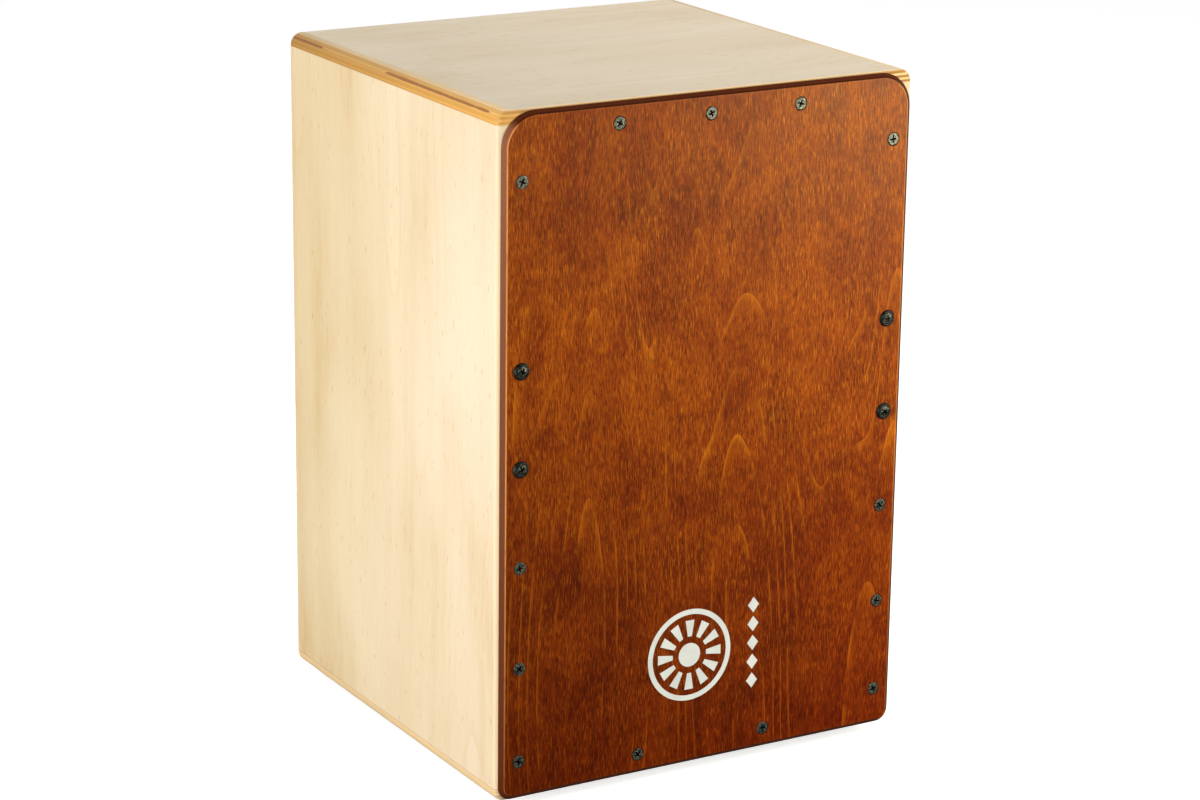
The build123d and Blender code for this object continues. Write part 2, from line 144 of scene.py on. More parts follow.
def make_world():
    """White behind the drum.  What lights it is dim in front and bright at the back, like a sweep."""
    world = bpy.data.worlds.new("studio")
    world.use_nodes = True
    nodes, links = world.node_tree.nodes, world.node_tree.links
    nodes.clear()
    output = nodes.new("ShaderNodeOutputWorld")
    white = nodes.new("ShaderNodeBackground")
    white.inputs["Color"].default_value = (1, 1, 1, 1)
    lighting = nodes.new("ShaderNodeBackground")
    coordinates = nodes.new("ShaderNodeTexCoord")
    split = nodes.new("ShaderNodeSeparateXYZ")
    sweep = nodes.new("ShaderNodeMapRange")
    sweep.inputs["From Min"].default_value, sweep.inputs["From Max"].default_value = SWEEP_FROM_TO
    sweep.inputs["To Min"].default_value, sweep.inputs["To Max"].default_value = SWEEP_STRENGTH
    path = nodes.new("ShaderNodeLightPath")
    choice = nodes.new("ShaderNodeMixShader")
    links.new(coordinates.outputs["Generated"], split.inputs[0])
    links.new(split.outputs["Y"], sweep.inputs["Value"])
    links.new(sweep.outputs["Result"], lighting.inputs["Strength"])
    links.new(path.outputs["Is Camera Ray"], choice.inputs["Fac"])
    links.new(lighting.outputs["Background"], choice.inputs[1])
    links.new(white.outputs["Background"], choice.inputs[2])
    links.new(choice.outputs["Shader"], output.inputs["Surface"])
    bpy.context.scene.world = world


# ======== Materials ========

def screen_colour(red, green, blue):
    """A colour as a screen shows it, 0 to 255, in the linear form that shaders take."""
    def channel(value):
        value = value / 255
        return value / 12.92 if value <= 0.04045 else ((value + 0.055) / 1.055) ** 2.4
    return (channel(red), channel(green), channel(blue), 1.0)


class Field:
    """A number that varies over a surface.  Its arithmetic adds the nodes that work it out."""

    def __init__(self, recipe, socket):
        self.recipe = recipe
        self.socket = socket

    def __add__(self, other):
        return self.recipe.math("ADD", self, other)

    def __sub__(self, other):
        return self.recipe.math("SUBTRACT", self, other)

    def __rsub__(self, other):
        return self.recipe.math("SUBTRACT", other, self)

    def __mul__(self, other):
        return self.recipe.math("MULTIPLY", self, other)

    def __truediv__(self, other):
        return self.recipe.math("DIVIDE", self, other)

    def __pow__(self, other):
        return self.recipe.math("POWER", self, other)

    def __abs__(self):
        return self.recipe.math("ABSOLUTE", self)

    def __gt__(self, other):
        return self.recipe.math("GREATER_THAN", self, other)

    def __lt__(self, other):
        return self.recipe.math("LESS_THAN", self, other)

    def floor(self):
        return self.recipe.math("FLOOR", self)

    def fraction(self):
        return self.recipe.math("FRACT", self)

    def rise(self, low, high):
        """0 below low, 1 above high, and a smooth step between."""
        return self.recipe.spread(self, low, high, smooth=True)


class Recipe:
    """Builds one node material.  Places are in the drum's own frame, in metres."""

    def __init__(self, name, **settings):
        self.material = bpy.data.materials.new(name)
        self.material.use_nodes = True
        self.nodes = self.material.node_tree.nodes
        self.links = self.material.node_tree.links
        self.nodes.clear()
        output = self.nodes.new("ShaderNodeOutputMaterial")
        self.shader = self.nodes.new("ShaderNodeBsdfPrincipled")
        self.links.new(self.shader.outputs["BSDF"], output.inputs["Surface"])
        for setting, value in settings.items():
            socket = setting.replace("_", " ").title().replace("Ior", "IOR")
            self.shader.inputs[socket].default_value = value
        coordinates = self.nodes.new("ShaderNodeTexCoord")
        self.place = coordinates.outputs["Object"]
        self.facing = coordinates.outputs["Normal"]

    def feed(self, socket, value):
        """Set a socket to a plain value, or link a field or another socket to it."""
        if isinstance(value, Field):
            value = value.socket
        if isinstance(value, bpy.types.NodeSocket):
            self.links.new(value, socket)
        else:
            socket.default_value = value

    def math(self, operation, *values):
        """One step of arithmetic on fields and plain numbers."""
        node = self.nodes.new("ShaderNodeMath")
        node.operation = operation
        for socket, value in zip(node.inputs, values):
            self.feed(socket, value)
        return Field(self, node.outputs[0])

    def parts(self, vector):
        """The three components of a vector as fields."""
        node = self.nodes.new("ShaderNodeSeparateXYZ")
        self.feed(node.inputs[0], vector)
        return [Field(self, output) for output in node.outputs]

    def vector(self, *components):
        """A vector from three fields or plain numbers."""
        node = self.nodes.new("ShaderNodeCombineXYZ")
        for socket, value in zip(node.inputs, components):
            self.feed(socket, value)
        return node.outputs[0]

    def spread(self, value, low, high, out_low=0.0, out_high=1.0, smooth=False):
        """Stretch a field from one range to another, and keep it inside."""
        node = self.nodes.new("ShaderNodeMapRange")
        node.interpolation_type = "SMOOTHSTEP" if smooth else "LINEAR"
        for socket, number in zip(node.inputs, (value, low, high, out_low, out_high)):
            self.feed(socket, number)
        return Field(self, node.outputs[0])

    def noise(
        self, scales, detail=2.0, roughness=0.5, distortion=0.0, offset=(0, 0, 0), place=None
    ):
        """Noise from 0 to 1.  Scales are its waves per metre along x, y and z."""
        mapping = self.nodes.new("ShaderNodeMapping")
        self.feed(mapping.inputs["Vector"], place or self.place)
        mapping.inputs["Scale"].default_value = scales
        mapping.inputs["Location"].default_value = offset
        node = self.nodes.new("ShaderNodeTexNoise")
        self.feed(node.inputs["Vector"], mapping.outputs["Vector"])
        node.inputs["Scale"].default_value = 1.0
        node.inputs["Detail"].default_value = detail
        node.inputs["Roughness"].default_value = roughness
        node.inputs["Distortion"].default_value = distortion
        return Field(self, node.outputs[0])

    def mix(self, amount, first, second, mode="MIX"):
        """Blend two colours.  An amount of 1 gives the second."""
        node = self.nodes.new("ShaderNodeMix")
        node.data_type = "RGBA"
        node.blend_type = mode
        node.clamp_factor = True
        self.feed(node.inputs[0], amount)
        self.feed(node.inputs[6], first)
        self.feed(node.inputs[7], second)
        return node.outputs[2]

    def shade(self, colour, amount):
        """Multiply a colour by a field that stays near 1."""
        return self.mix(1.0, colour, self.vector(amount, amount, amount), "MULTIPLY")

    def ramp(self, value, *stops):
        """A colour for each value.  Stops are (position, colour) pairs."""
        node = self.nodes.new("ShaderNodeValToRGB")
        elements = node.color_ramp.elements
        while len(elements) < len(stops):
            elements.new(0.5)
        for element, (position, colour) in zip(elements, stops):
            element.position = position
            element.color = colour
        self.feed(node.inputs[0], value)
        return node.outputs[0]

    def bump(self, height, depth):
        """Relief whose full height is depth, in metres."""
        node = self.nodes.new("ShaderNodeBump")
        self.feed(node.inputs["Height"], height)
        node.inputs["Strength"].default_value = 1.0
        node.inputs["Distance"].default_value = depth
        self.feed(self.shader.inputs["Normal"], node.outputs["Normal"])

    def finish(self, colour, roughness):
        """The material, with its last two inputs set."""
        self.feed(self.shader.inputs["Base Color"], colour)
        self.feed(self.shader.inputs["Roughness"], roughness)
        return self.material


# ---- birch plywood ----

FACE_VENEER = 0.6        # millimetres, after sanding
CORE_PLIES = 5
BIRCH_PALE = screen_colour(245, 228, 198)
BIRCH_FACE = screen_colour(237, 216, 181)
BIRCH_DEEP = screen_colour(219, 186, 130)
BIRCH_FLECK = screen_colour(206, 164, 104)
GAP_SHADE_COLOUR = screen_colour(140, 78, 34)
SEAM_COLOUR = screen_colour(176, 128, 76)

# edges of the plies: (long grain, long grain of a cross ply, end grain, end grain of a cross ply)
HONEY_EDGE = (
    screen_colour(244, 202, 122),
    screen_colour(222, 166, 84),
    screen_colour(212, 156, 72),
    screen_colour(164, 108, 44),
)
PALE_EDGE = (
    screen_colour(248, 226, 184),
    screen_colour(242, 208, 154),
    screen_colour(246, 214, 162),
    screen_colour(230, 192, 138),
)
CREAM_EDGE = (
    screen_colour(240, 221, 184),
    screen_colour(238, 216, 176),
    screen_colour(238, 216, 176),
    screen_colour(236, 212, 170),
)

# figure and tone of the faces, with lengths in metres
GRAIN_WANDER = 0.05                    # the grain strays this far sideways
GROWTH_LINES = 18.0                    # this many lines over the whole range of their noise
SIDE_SHADE_FRONT = (0.98, 0.965, 0.96, 1.0)
SIDE_SHADE_BACK = (0.94, 0.90, 0.78, 1.0)    # painted shade: the sides darker and yellower toward the back, where less light falls
SIDE_SHADE_STARTS = 0.05                      # in from the front
SIDE_SHADE_ENDS = 0.03                        # in from the back
PANEL_SHADE_LEFT_TO_RIGHT = (0.95, 1.04)           # painted shade and light: the other panels' faces darker on the left, brighter on the right
BIRCH_RELIEF = 0.00004

# the honey-coloured edge of the seat
HONEY_SHADE_FRONT_TO_BACK = (1.12, 0.66)     # painted light and shade on it: brighter at the front, darker toward the back
GOLDEN_LEFT = (-0.1, 0.1)              # at the front, plain left of these places and striped to the right
EDGE_WRAP = (0.006, 0.0125)            # on the face, whole this near a long edge and gone this far in
MISSING_PLY = ((0.012, 0.153), (0.239, 0.289))    # stretches of a missing ply, from the front edge
MISSING_PLY_NUMBER = 3.0
GAP_TAPER = 0.006

# glue lines, each whole up to the first distance from the panel's end and gone at the second
LOW_SEAM = (0.0004, 0.0008)
HIGH_SEAM = (0.0003, 0.0006)


class Board:
    """A panel of plywood: its box, the axis through it, and the axes along and across its face grain."""

    def __init__(self, node, through, grain, seed=0.0):
        self.low, self.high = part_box(node)
        self.through = AXES[through]
        self.grain = AXES[grain]
        self.across = ({0, 1, 2} - {self.through, self.grain}).pop()
        self.seed = seed

    def scales(self, along_grain, across_grain, through_plies=0.0):
        """Waves per metre along x, y and z."""
        values = [0.0, 0.0, 0.0]
        values[self.grain] = along_grain
        values[self.across] = across_grain
        values[self.through] = through_plies
        return values


def layered(recipe, board, face_veneer, core_plies):
    """Where a point lies in the stack of plies.

    Gives how many plies into the core it is, the number of its ply, and 1 if that is a cross ply.
    """
    axis = board.through
    thickness = (board.high[axis] - board.low[axis]) / MM
    ply = (thickness - 2 * face_veneer) / core_plies
    depth = (recipe.parts(recipe.place)[axis] - board.low[axis]) / MM
    level = (depth - face_veneer) / ply
    number = level.floor()
    in_core = (level > 0.0) * (level < float(core_plies))
    cross = in_core * (1.0 - recipe.math("MODULO", number + 10.0, 2.0))
    return level, number, cross


def birch_figure(recipe, board):
    """The face: faint growth lines, soft clouds, short fibres and sparse flecks.

    Gives its colour, and how much of a fibre and of a fleck each point is.
    """
    seed = board.seed
    offset = (seed, seed * 1.7, seed * 0.6)
    place = recipe.parts(recipe.place)
    wander = recipe.noise(board.scales(2.2, 5.0), detail=2.0, offset=offset) - 0.5
    bent = list(place)
    bent[board.across] = place[board.across] + wander * GRAIN_WANDER
    figure = {"offset": offset, "place": recipe.vector(*bent)}

    rings = recipe.noise(board.scales(1.3, 9.0), detail=1.5, roughness=0.4, **figure) * GROWTH_LINES
    line = rings.fraction() ** 8.0
    visible = recipe.noise(board.scales(2.5, 6.0), detail=1.0, offset=(seed + 3.1, 0, 0)).rise(0.44, 0.62)
    bands = recipe.noise(board.scales(2.0, 46.0), detail=3.0, roughness=0.55, **figure)
    clouds = recipe.noise(board.scales(5.0, 11.0), distortion=0.6, offset=(0, seed + 1.3, 0))
    fibres = recipe.noise(board.scales(45.0, 1100.0), detail=3.0, roughness=0.6, **figure)
    flecks = recipe.noise(board.scales(90.0, 800.0), detail=1.0, **figure).rise(0.68, 0.76)
    tone = bands * 0.3 + clouds * 0.45 + fibres * 0.25
    face = recipe.ramp(tone, (0.30, BIRCH_DEEP), (0.46, BIRCH_FACE), (0.60, BIRCH_PALE))
    face = recipe.mix(line * visible * 0.3, face, BIRCH_DEEP)
    face = recipe.mix(flecks * 0.75, face, BIRCH_FLECK)

    # painted shade on the side panels: darker and yellower toward the back
    if board.through == AXES["x"]:
        toward_back = recipe.spread(place[1], cad_low.y + SIDE_SHADE_STARTS, cad_high.y - SIDE_SHADE_ENDS)
        side_shade = recipe.mix(toward_back, SIDE_SHADE_FRONT, SIDE_SHADE_BACK)
        return recipe.mix(1.0, face, side_shade, "MULTIPLY"), fibres, flecks
    # painted shade on the left and painted light on the right of these panels
    shade = recipe.spread(place[0], cad_low.x, cad_high.x, *PANEL_SHADE_LEFT_TO_RIGHT)
    return recipe.shade(face, shade), fibres, flecks


def missing_ply(recipe, level, speckle, gaps):
    """How open the gaps in a ply are, and how dark the painted shade in them is, on the edge that faces
    left.
    """
    place = recipe.parts(recipe.place)
    faces_left = recipe.parts(recipe.facing)[0] < -0.3
    ragged = recipe.noise((140.0, 140.0, 140.0), detail=3.0, roughness=0.6)
    openings = []
    for start, end in gaps:
        taper = recipe.math("MINIMUM", place[1] - start, end - place[1]).rise(0.0, GAP_TAPER)
        off_middle = abs(level - (MISSING_PLY_NUMBER + 0.5))
        open_part = (ragged * 0.5 + 0.2) * taper - off_middle
        openings.append(open_part.rise(-0.04, 0.06) * faces_left)
    hollow = openings[0]
    for opening in openings[1:]:
        hollow = hollow + opening
    return hollow, hollow * (speckle * 0.5 + 0.55)


def birch_plywood(name, board, edges=PALE_EDGE, gaps=(), seams=False):
    """Clear-lacquered birch plywood.  Faces show a faint figure, and cut edges show the plies.

    Gaps are the stretches of a missing ply, from one place to another along the depth of the drum.
    Seams draws the fine glue lines along the panel's upper and lower ends.
    """
    recipe = Recipe(name, coat_weight=0.08, coat_roughness=0.3, specular_ior_level=0.4)
    place = recipe.parts(recipe.place)
    facing = recipe.parts(recipe.facing)
    low, high, seed = board.low, board.high, board.seed
    face, fibres, flecks = birch_figure(recipe, board)

    # the cut edges: long grain is pale, and end grain is deeper
    level, number, cross = layered(recipe, board, FACE_VENEER, CORE_PLIES)
    end_of_face = facing[board.grain] * facing[board.grain]
    end_of_cross = facing[board.across] * facing[board.across]
    end_on = end_of_face * (1.0 - cross) + end_of_cross * cross
    cut = (1.0 - abs(facing[board.through])).rise(0.0, 0.12)
    ply_tone = recipe.noise((9.0, 9.0, 9.0), detail=2.0, offset=(seed, 0, 0)) * 0.2 + 0.9
    ply_shift = recipe.math("SINE", number * 2.4 + seed) * 0.04
    speckle = recipe.noise((1800.0, 1800.0, 1800.0), detail=2.0, roughness=0.6)
    streak = recipe.noise(board.scales(30.0, 30.0, 3200.0), detail=2.0, roughness=0.6)
    long_grain, long_cross, end_grain, end_cross = edges
    long_edge = recipe.mix(cross, long_grain, long_cross)
    end_edge = recipe.mix(cross, end_grain, end_cross)
    edge = recipe.mix(end_on.rise(0.1, 0.9), long_edge, end_edge)
    grainy = speckle * end_on + streak * (1.0 - end_on)
    edge = recipe.shade(edge, ply_tone + ply_shift + (grainy - 0.5) * 0.35)
    to_glue = abs(level.fraction() - 0.5)
    glue = to_glue.rise(0.42, 0.48) * cut
    edge = recipe.mix(glue * 0.5, edge, end_cross)
    if edges == HONEY_EDGE:
        golden = recipe.mix(place[0].rise(*GOLDEN_LEFT), end_grain, edge)
        edge = recipe.mix(abs(facing[1]) * 0.8, edge, golden)
        # painted shade: the honey edge darker toward the back
        edge = recipe.shade(edge, recipe.spread(place[1], cad_low.y, cad_high.y, *HONEY_SHADE_FRONT_TO_BACK))
        to_side = recipe.math("MINIMUM", place[0] - low.x, high.x - place[0])
        cut = recipe.math("MAXIMUM", cut, (1.0 - to_side.rise(*EDGE_WRAP)) * 0.8)
    colour = recipe.mix(cut, face, edge)

    relief = fibres * 0.5 - flecks * 0.5 + grainy * cut * 1.5 - glue * 0.6
    if seams:
        low_seam = 1.0 - (place[2] - low.z).rise(*LOW_SEAM)
        high_seam = 1.0 - (high.z - place[2]).rise(*HIGH_SEAM)
        colour = recipe.mix(low_seam * 0.6 + high_seam * 0.2, colour, SEAM_COLOUR)
    if gaps:
        # painted shade inside the gaps of the missing ply
        hollow, gap_shade = missing_ply(recipe, level, speckle, gaps)
        colour = recipe.mix(gap_shade, colour, GAP_SHADE_COLOUR)
        relief = relief - hollow * 4.0
    recipe.bump(relief, BIRCH_RELIEF)
    sheen = recipe.noise((22.0, 22.0, 22.0), detail=3.0)
    return recipe.finish(colour, sheen * 0.12 + 0.36 + cut * 0.12)


# ---- stained plywood of the playing face ----

PLATE_FACE_VENEER = 0.8        # millimetres
PLATE_CORE_PLIES = 1
PLATE_CHAMFER = 2.8            # millimetres
PLATE_TOP_CORNER = 0.023       # metres, like the rest
PLATE_BOTTOM_CORNER = 0.009
UPRIGHT_BLEND = 0.006
PLATE_GRAIN_WANDER = 0.03
PLATE_GROWTH_LINES = 32.0
PLATE_RELIEF = 0.00008
STAIN_DARK = screen_colour(84, 26, 3)
STAIN_RED = screen_colour(118, 40, 3)
STAIN_BODY = screen_colour(140, 52, 2)
STAIN_ORANGE = screen_colour(164, 72, 3)
STAIN_LIGHT = screen_colour(222, 124, 20)
BEVEL_PINK = screen_colour(146, 90, 64)
BEVEL_LOW_SHADE = screen_colour(96, 40, 16)
BEVEL_CORE = screen_colour(88, 38, 16)
BEVEL_DARK = screen_colour(62, 24, 8)
WORN_EDGE_HIGHLIGHT = screen_colour(232, 156, 84)
BLOTCH_TINT = (0.74, 0.58, 0.72, 1.0)
FOOT_PAINTED_SHADE = (0.61, 0.37, 0.1, 1.0)      # painted shade: darker and redder low on the plate, where less light reaches
HEAD_PAINTED_LIGHT = (1.05, 1.13, 1.0, 1.0)      # and painted light: a little brighter and more golden high up, like the lacquer's haze
FOOT_SHADE_FROM = -0.02                  # both measured up from the plate's lower end
HEAD_LIGHT_FROM = 0.26
LEFT_PAINTED_SHADE = (0.62, 0.95)               # painted shade, darker toward the left, at its foot and higher up
LEFT_PAINTED_SHADE_REACH = 0.3
# painted light, brighter toward the right
RIGHT_PAINTED_LIGHT = 1.16
LACQUER_TINT = (1.0, 0.93, 0.62, 1.0)


def from_outline(recipe, place, low, high):
    """Where a point lies on the plate: (millimetres in from its outline, 1 beside an upright edge)."""
    middle = (low + high) / 2
    half = (high - low) / 2
    radius = (place[2] > middle.z) * (PLATE_TOP_CORNER - PLATE_BOTTOM_CORNER) + PLATE_BOTTOM_CORNER
    side = abs(place[0] - middle.x) - half.x + radius
    end = abs(place[2] - middle.z) - half.z + radius
    beyond_side = recipe.math("MAXIMUM", side, 0.0)
    beyond_end = recipe.math("MAXIMUM", end, 0.0)
    corner = (beyond_side * beyond_side + beyond_end * beyond_end) ** 0.5
    inside = recipe.math("MINIMUM", recipe.math("MAXIMUM", side, end), 0.0)
    upright = (side - end).rise(-UPRIGHT_BLEND, UPRIGHT_BLEND)
    return (radius - corner - inside) / MM, upright


def stained_plywood(name, node):
    """Thin plywood with a reddish-brown stain under satin lacquer, its grain upright."""
    recipe = Recipe(name, specular_ior_level=0.14, specular_tint=LACQUER_TINT)
    board = Board(node, "y", "z")
    low, high = board.low, board.high
    place = recipe.parts(recipe.place)
    facing = recipe.parts(recipe.facing)
    wander = recipe.noise((6.0, 0, 2.4), detail=2.0) - 0.5
    bent = recipe.vector(place[0] + wander * PLATE_GRAIN_WANDER, place[1], place[2])

    # clouds of red and orange, soft upright streaks, and short fibres and pores
    clouds = recipe.noise((38.0, 0, 26.0), detail=4.0, roughness=0.62, distortion=1.2, place=bent)
    broad = recipe.noise((9.0, 0, 6.0), detail=2.0, distortion=0.5, offset=(2.0, 0, 1.0))
    streaks = recipe.noise((260.0, 0, 18.0), detail=3.0, roughness=0.65, place=bent)
    tone = clouds * 0.4 + broad * 0.22 + streaks * 0.38
    colour = recipe.ramp(
        tone,
        (0.30, STAIN_DARK),
        (0.42, STAIN_RED),
        (0.50, STAIN_BODY),
        (0.62, STAIN_ORANGE),
    )
    short = {"detail": 3.0, "roughness": 0.65, "distortion": 0.2, "place": bent}
    fibres = recipe.noise((1500.0, 0, 130.0), **short)
    pores = recipe.noise((1300.0, 0, 170.0), offset=(0, 0, 40.0), **short)
    colour = recipe.mix(fibres.rise(0.46, 0.70) * 0.7, colour, STAIN_LIGHT)
    colour = recipe.mix(pores.rise(0.46, 0.66) * 0.8, colour, STAIN_DARK)

    # blotches where the veneer took up more of the stain
    blotches = recipe.noise(
        (16.0, 0, 10.0), detail=3.0, roughness=0.58, distortion=1.2, offset=(7.0, 0, 4.0), place=bent
    ).rise(0.45, 0.62)
    colour = recipe.mix(blotches * 0.8, colour, BLOTCH_TINT, "MULTIPLY")

    # growth lines take less stain, so they stay light
    rings = recipe.noise(
        (9.0, 0, 1.1), detail=1.5, roughness=0.4, distortion=0.1, offset=(5.0, 0, 3.0), place=bent
    ) * PLATE_GROWTH_LINES
    line = rings.fraction() ** 11.0
    visible = recipe.noise((26.0, 0, 20.0), detail=2.0, offset=(1.0, 0, 8.0)).rise(0.45, 0.62)
    lower = recipe.spread(place[2], low.z + 0.1, high.z - 0.05, 1.0, 0.3)
    colour = recipe.mix(line * visible * lower * fibres * 1.7, colour, STAIN_LIGHT)

    # painted shade low on the plate and painted light high up
    height = recipe.spread(place[2], low.z + FOOT_SHADE_FROM, low.z + HEAD_LIGHT_FROM)
    colour = recipe.mix(1.0, colour, recipe.mix(height, FOOT_PAINTED_SHADE, HEAD_PAINTED_LIGHT), "MULTIPLY")
    # painted shade to the left and painted light to the right
    left_painted_shade = recipe.spread(place[2], low.z, low.z + LEFT_PAINTED_SHADE_REACH, *LEFT_PAINTED_SHADE)
    colour = recipe.shade(colour, recipe.spread(place[0], low.x, high.x, left_painted_shade, RIGHT_PAINTED_LIGHT))

    # the bevel: lighter and pinker on the left, with painted shade toward its foot, and darker elsewhere
    cross = layered(recipe, board, PLATE_FACE_VENEER, PLATE_CORE_PLIES)[2]
    inward, upright = from_outline(recipe, place, low, high)
    on_left = (place[0] < 0.0) * upright
    speckle = recipe.noise((1500.0, 1500.0, 1500.0), detail=2.0, roughness=0.6)
    left_bevel = recipe.mix(recipe.spread(place[2], low.z, high.z), BEVEL_LOW_SHADE, BEVEL_PINK)
    plain = recipe.mix(cross, BEVEL_DARK, BEVEL_CORE)
    edge = recipe.mix(on_left, plain, left_bevel)
    edge = recipe.shade(edge, speckle * 0.6 + 0.7)
    cut = 1.0 - abs(facing[1]).rise(0.80, 0.86)
    colour = recipe.mix(cut, colour, edge)

    # where the bevel meets the face the stain is worn off, with a painted highlight on it: strongest on
    # the left and fading toward the foot
    worn = recipe.noise((220.0, 220.0, 70.0), detail=3.0, roughness=0.6).rise(0.28, 0.5) * 0.5 + 0.5
    to_arris = abs(inward - (PLATE_CHAMFER + 0.25))
    arris = (1.0 - to_arris.rise(0.2, 0.7)) * worn
    # painted shade: the worn edge and its highlight fade toward the foot
    foot_fade = recipe.spread(place[2], low.z + 0.02, low.z + 0.2, 0.3, 1.0)
    colour = recipe.mix(arris * (on_left * 0.5 + upright * 0.45 + 0.05) * foot_fade, colour, WORN_EDGE_HIGHLIGHT)

    # the back is left raw
    bare = streaks * 0.6 + fibres * 0.4
    raw = recipe.ramp(bare, (0.34, BIRCH_DEEP), (0.5, BIRCH_FACE), (0.66, BIRCH_PALE))
    colour = recipe.mix(facing[1] > 0.5, colour, raw)
    recipe.bump(fibres * 0.7 - pores * 0.7 + speckle * cut * 0.5, PLATE_RELIEF)
    return recipe.finish(colour, clouds * 0.12 + fibres * 0.1 + 0.22)


# ---- pine of the battens and the crossbar ----

PINE_EARLY = screen_colour(236, 206, 158)
PINE_LATE = screen_colour(202, 150, 92)
PINE_END = screen_colour(196, 148, 96)
PINE_RINGS = 330.0       # rings per metre, measured askew across the strip
PINE_RELIEF = 0.00008


def pine(name, grain, seed):
    """Planed pine: straight rings along the strip, darker on its sawn ends."""
    recipe = Recipe(name)
    g = AXES[grain]
    place = recipe.parts(recipe.place)
    sideways = [axis for axis in range(3) if axis != g]
    long_scales = [40.0, 40.0, 40.0]
    long_scales[g] = 3.0
    fine_scales = [1400.0, 1400.0, 1400.0]
    fine_scales[g] = 40.0
    drift = recipe.noise(long_scales, detail=2.0, offset=(seed, 0, seed))
    rings = (place[sideways[0]] * 0.6 + place[sideways[1]]) * PINE_RINGS + drift * 2.2 + seed
    late = rings.fraction() ** 3.0
    fibres = recipe.noise(fine_scales, detail=2.0, roughness=0.6)
    facing = recipe.parts(recipe.facing)
    end_on = (facing[g] * facing[g]).rise(0.3, 0.8)
    colour = recipe.mix(late * 0.8, PINE_EARLY, PINE_LATE)
    colour = recipe.mix(end_on * 0.5, colour, PINE_END)
    colour = recipe.shade(colour, fibres * 0.3 + 0.85)
    recipe.bump(fibres + late * 0.6, PINE_RELIEF)
    return recipe.finish(colour, fibres * 0.15 + 0.55)


# ---- metals, rubber and paint ----

RECESS_SHADE = screen_colour(14, 15, 15)
BARE_STEEL = screen_colour(180, 180, 168)
DULL_BLACK, DULL_GREY = screen_colour(44, 48, 45), screen_colour(96, 100, 93)
OILED_BLACK, OILED_GREY = screen_colour(24, 28, 27), screen_colour(62, 66, 60)
CUP_BLACK, CUP_GREY = screen_colour(18, 22, 22), screen_colour(44, 50, 48)
ZINC = screen_colour(196, 198, 200)
SPRING_STEEL = screen_colour(214, 214, 210)
SUNK_BY = (0.00005, 0.0003)     # the shade of a recess starts and is whole at these depths
RUBBER_BLACK = screen_colour(34, 34, 35)
RUBBER_DUST = screen_colour(84, 82, 78)
PRINT_THIN = screen_colour(222, 229, 226)
PRINT_FULL = screen_colour(238, 243, 240)
PRINT_PINHOLE = screen_colour(196, 170, 150)
OXIDE_RELIEF = 0.00006
PLATED_RELIEF = 0.00002
RUBBER_RELIEF = 0.00006
PRINT_RELIEF = 0.00004


def black_steel(name, face, dark, light, rub):
    """Black-oxide steel, mottled from dark to light, with painted shade in its recesses.

    Recesses are what lies behind face, a place along y.  Rub is how much bare metal shows through.
    """
    recipe = Recipe(name, metallic=0.8)
    place = recipe.parts(recipe.place)
    sunk = (place[1] - face).rise(*SUNK_BY)
    mottle = recipe.noise((700.0, 700.0, 700.0), detail=3.0, roughness=0.65)
    rubbed = recipe.noise((1500.0, 1500.0, 1500.0), detail=2.0, roughness=0.7).rise(0.52, 0.68)
    colour = recipe.mix(mottle.rise(0.35, 0.65), dark, light)
    colour = recipe.mix(rubbed * rub, colour, BARE_STEEL)
    colour = recipe.mix(sunk, colour, RECESS_SHADE)
    recipe.bump(mottle * 2.0 + rubbed, OXIDE_RELIEF)
    return recipe.finish(colour, mottle * 0.2 + sunk * 0.3 + 0.2)


def plated_steel(name, tint, roughness):
    """Plated steel with a fine brushed and mottled surface."""
    recipe = Recipe(name, metallic=1.0)
    mottle = recipe.noise((420.0, 420.0, 420.0), detail=3.0, roughness=0.6)
    fine = recipe.noise((2400.0, 2400.0, 300.0), detail=2.0)
    dark = tuple(0.62 * channel for channel in tint[:3]) + (1.0,)
    colour = recipe.mix(mottle.rise(0.3, 0.7), dark, tint)
    recipe.bump(fine, PLATED_RELIEF)
    return recipe.finish(colour, fine * 0.2 + roughness)


def foot_rubber():
    """Dark moulded rubber with patches of dust."""
    recipe = Recipe("foot_rubber", specular_ior_level=0.35)
    grit = recipe.noise((1500.0, 1500.0, 1500.0), detail=3.0, roughness=0.7)
    dust = recipe.noise((160.0, 160.0, 160.0), detail=3.0).rise(0.5, 0.8)
    colour = recipe.mix(dust * 0.5, RUBBER_BLACK, RUBBER_DUST)
    recipe.bump(grit, RUBBER_RELIEF)
    return recipe.finish(colour, grit * 0.2 + 0.6)


def white_paint():
    """Screen-printed white, thin enough for the wood's fibres to show in it."""
    recipe = Recipe("white_print", specular_ior_level=0.4)
    fibres = recipe.noise((950.0, 0, 110.0), detail=2.5, roughness=0.6)
    cover = recipe.noise((60.0, 0, 40.0), detail=3.0)
    pinholes = recipe.noise((1500.0, 0, 420.0), detail=1.0).rise(0.74, 0.8)
    colour = recipe.mix(cover.rise(0.3, 0.7), PRINT_THIN, PRINT_FULL)
    colour = recipe.mix(pinholes * 0.3, colour, PRINT_PINHOLE)
    recipe.bump(fibres, PRINT_RELIEF)
    return recipe.finish(colour, fibres * 0.15 + 0.42)


